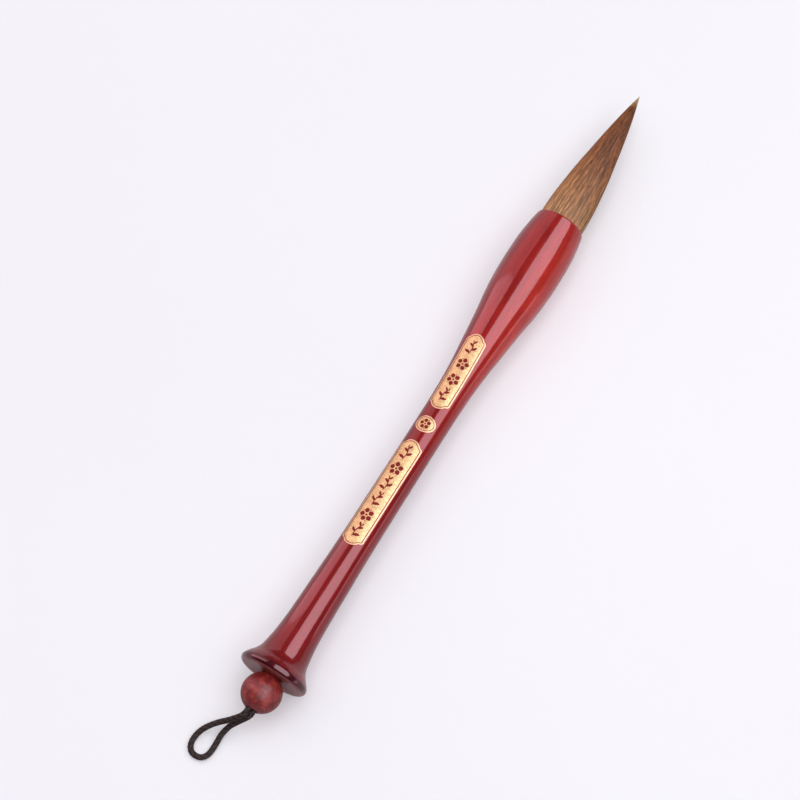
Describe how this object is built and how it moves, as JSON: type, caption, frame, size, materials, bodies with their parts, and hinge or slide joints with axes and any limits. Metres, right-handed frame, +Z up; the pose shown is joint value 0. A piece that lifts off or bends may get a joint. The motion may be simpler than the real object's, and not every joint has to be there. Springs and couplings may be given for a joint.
{
  "type": "calligraphy brush",
  "caption": "Large calligraphy brush with a turned red lacquered handle, swollen ferrule, brown hair tuft, flared tail, bead and hanging loop.",
  "frame": {"origin": "on the table, under the middle of the brush, halfway from tail to hair tip", "axes": "+X along the brush from tail to hair tip, +Z up from the table it lies on"},
  "size_m": [0.3134, 0.0293, 0.0276],
  "materials": {
    "lacquered_wood": "deep red lacquer, high gloss",
    "bead_wood": "red stained wood, satin",
    "gold_foil": "cream-gold foil label",
    "hair": "brown animal hair, fine strands",
    "linen_thread": "waxed thread",
    "resin": "amber glue",
    "braided_cord": "dark brown round braid"
  },
  "bodies": {
    "handle": {"tail_flange": "lacquered_wood", "shaft": "lacquered_wood", "ferrule": "lacquered_wood", "label_lower": "gold_foil", "label_oval": "gold_foil", "label_upper": "gold_foil", "root_resin": "resin", "binding_thread": "linen_thread", "core_hair_root": "hair", "lining_hair_root": "hair", "cover_hair_root": "hair", "cord_knot": "braided_cord", "cord_anchor": "braided_cord"},
    "tuft": {"core_hair_tip": "hair", "lining_hair_tip": "hair", "cover_hair_tip": "hair"},
    "neck": {"cord_neck": "braided_cord"},
    "bead": {"bead": "bead_wood"},
    "loop": {"hang_loop": "braided_cord"}
  },
  "joints": [
    {"name": "tuft_bend", "type": "hinge", "parent": "handle", "child": "tuft", "pos_m": [0.091, 0, 0.0138], "axis": [0, 0, 1], "range_deg": [-35, 35], "stiffness_Nm_per_rad": 0.02},
    {"name": "loop_swing", "type": "hinge", "parent": "handle", "child": "neck", "pos_m": [-0.1449, 0, 0.0138], "axis": [0, 0, 1], "range_deg": [-30, 30]},
    {"name": "bead_spin", "type": "hinge", "parent": "neck", "child": "bead", "pos_m": [-0.1449, 0, 0.0138], "axis": [1, 0, 0], "continuous": true},
    {"name": "loop_lift", "type": "hinge", "parent": "neck", "child": "loop", "pos_m": [-0.1538, 0, 0.0138], "axis": [0, 1, 0], "range_deg": [0, 60]}
  ]
}
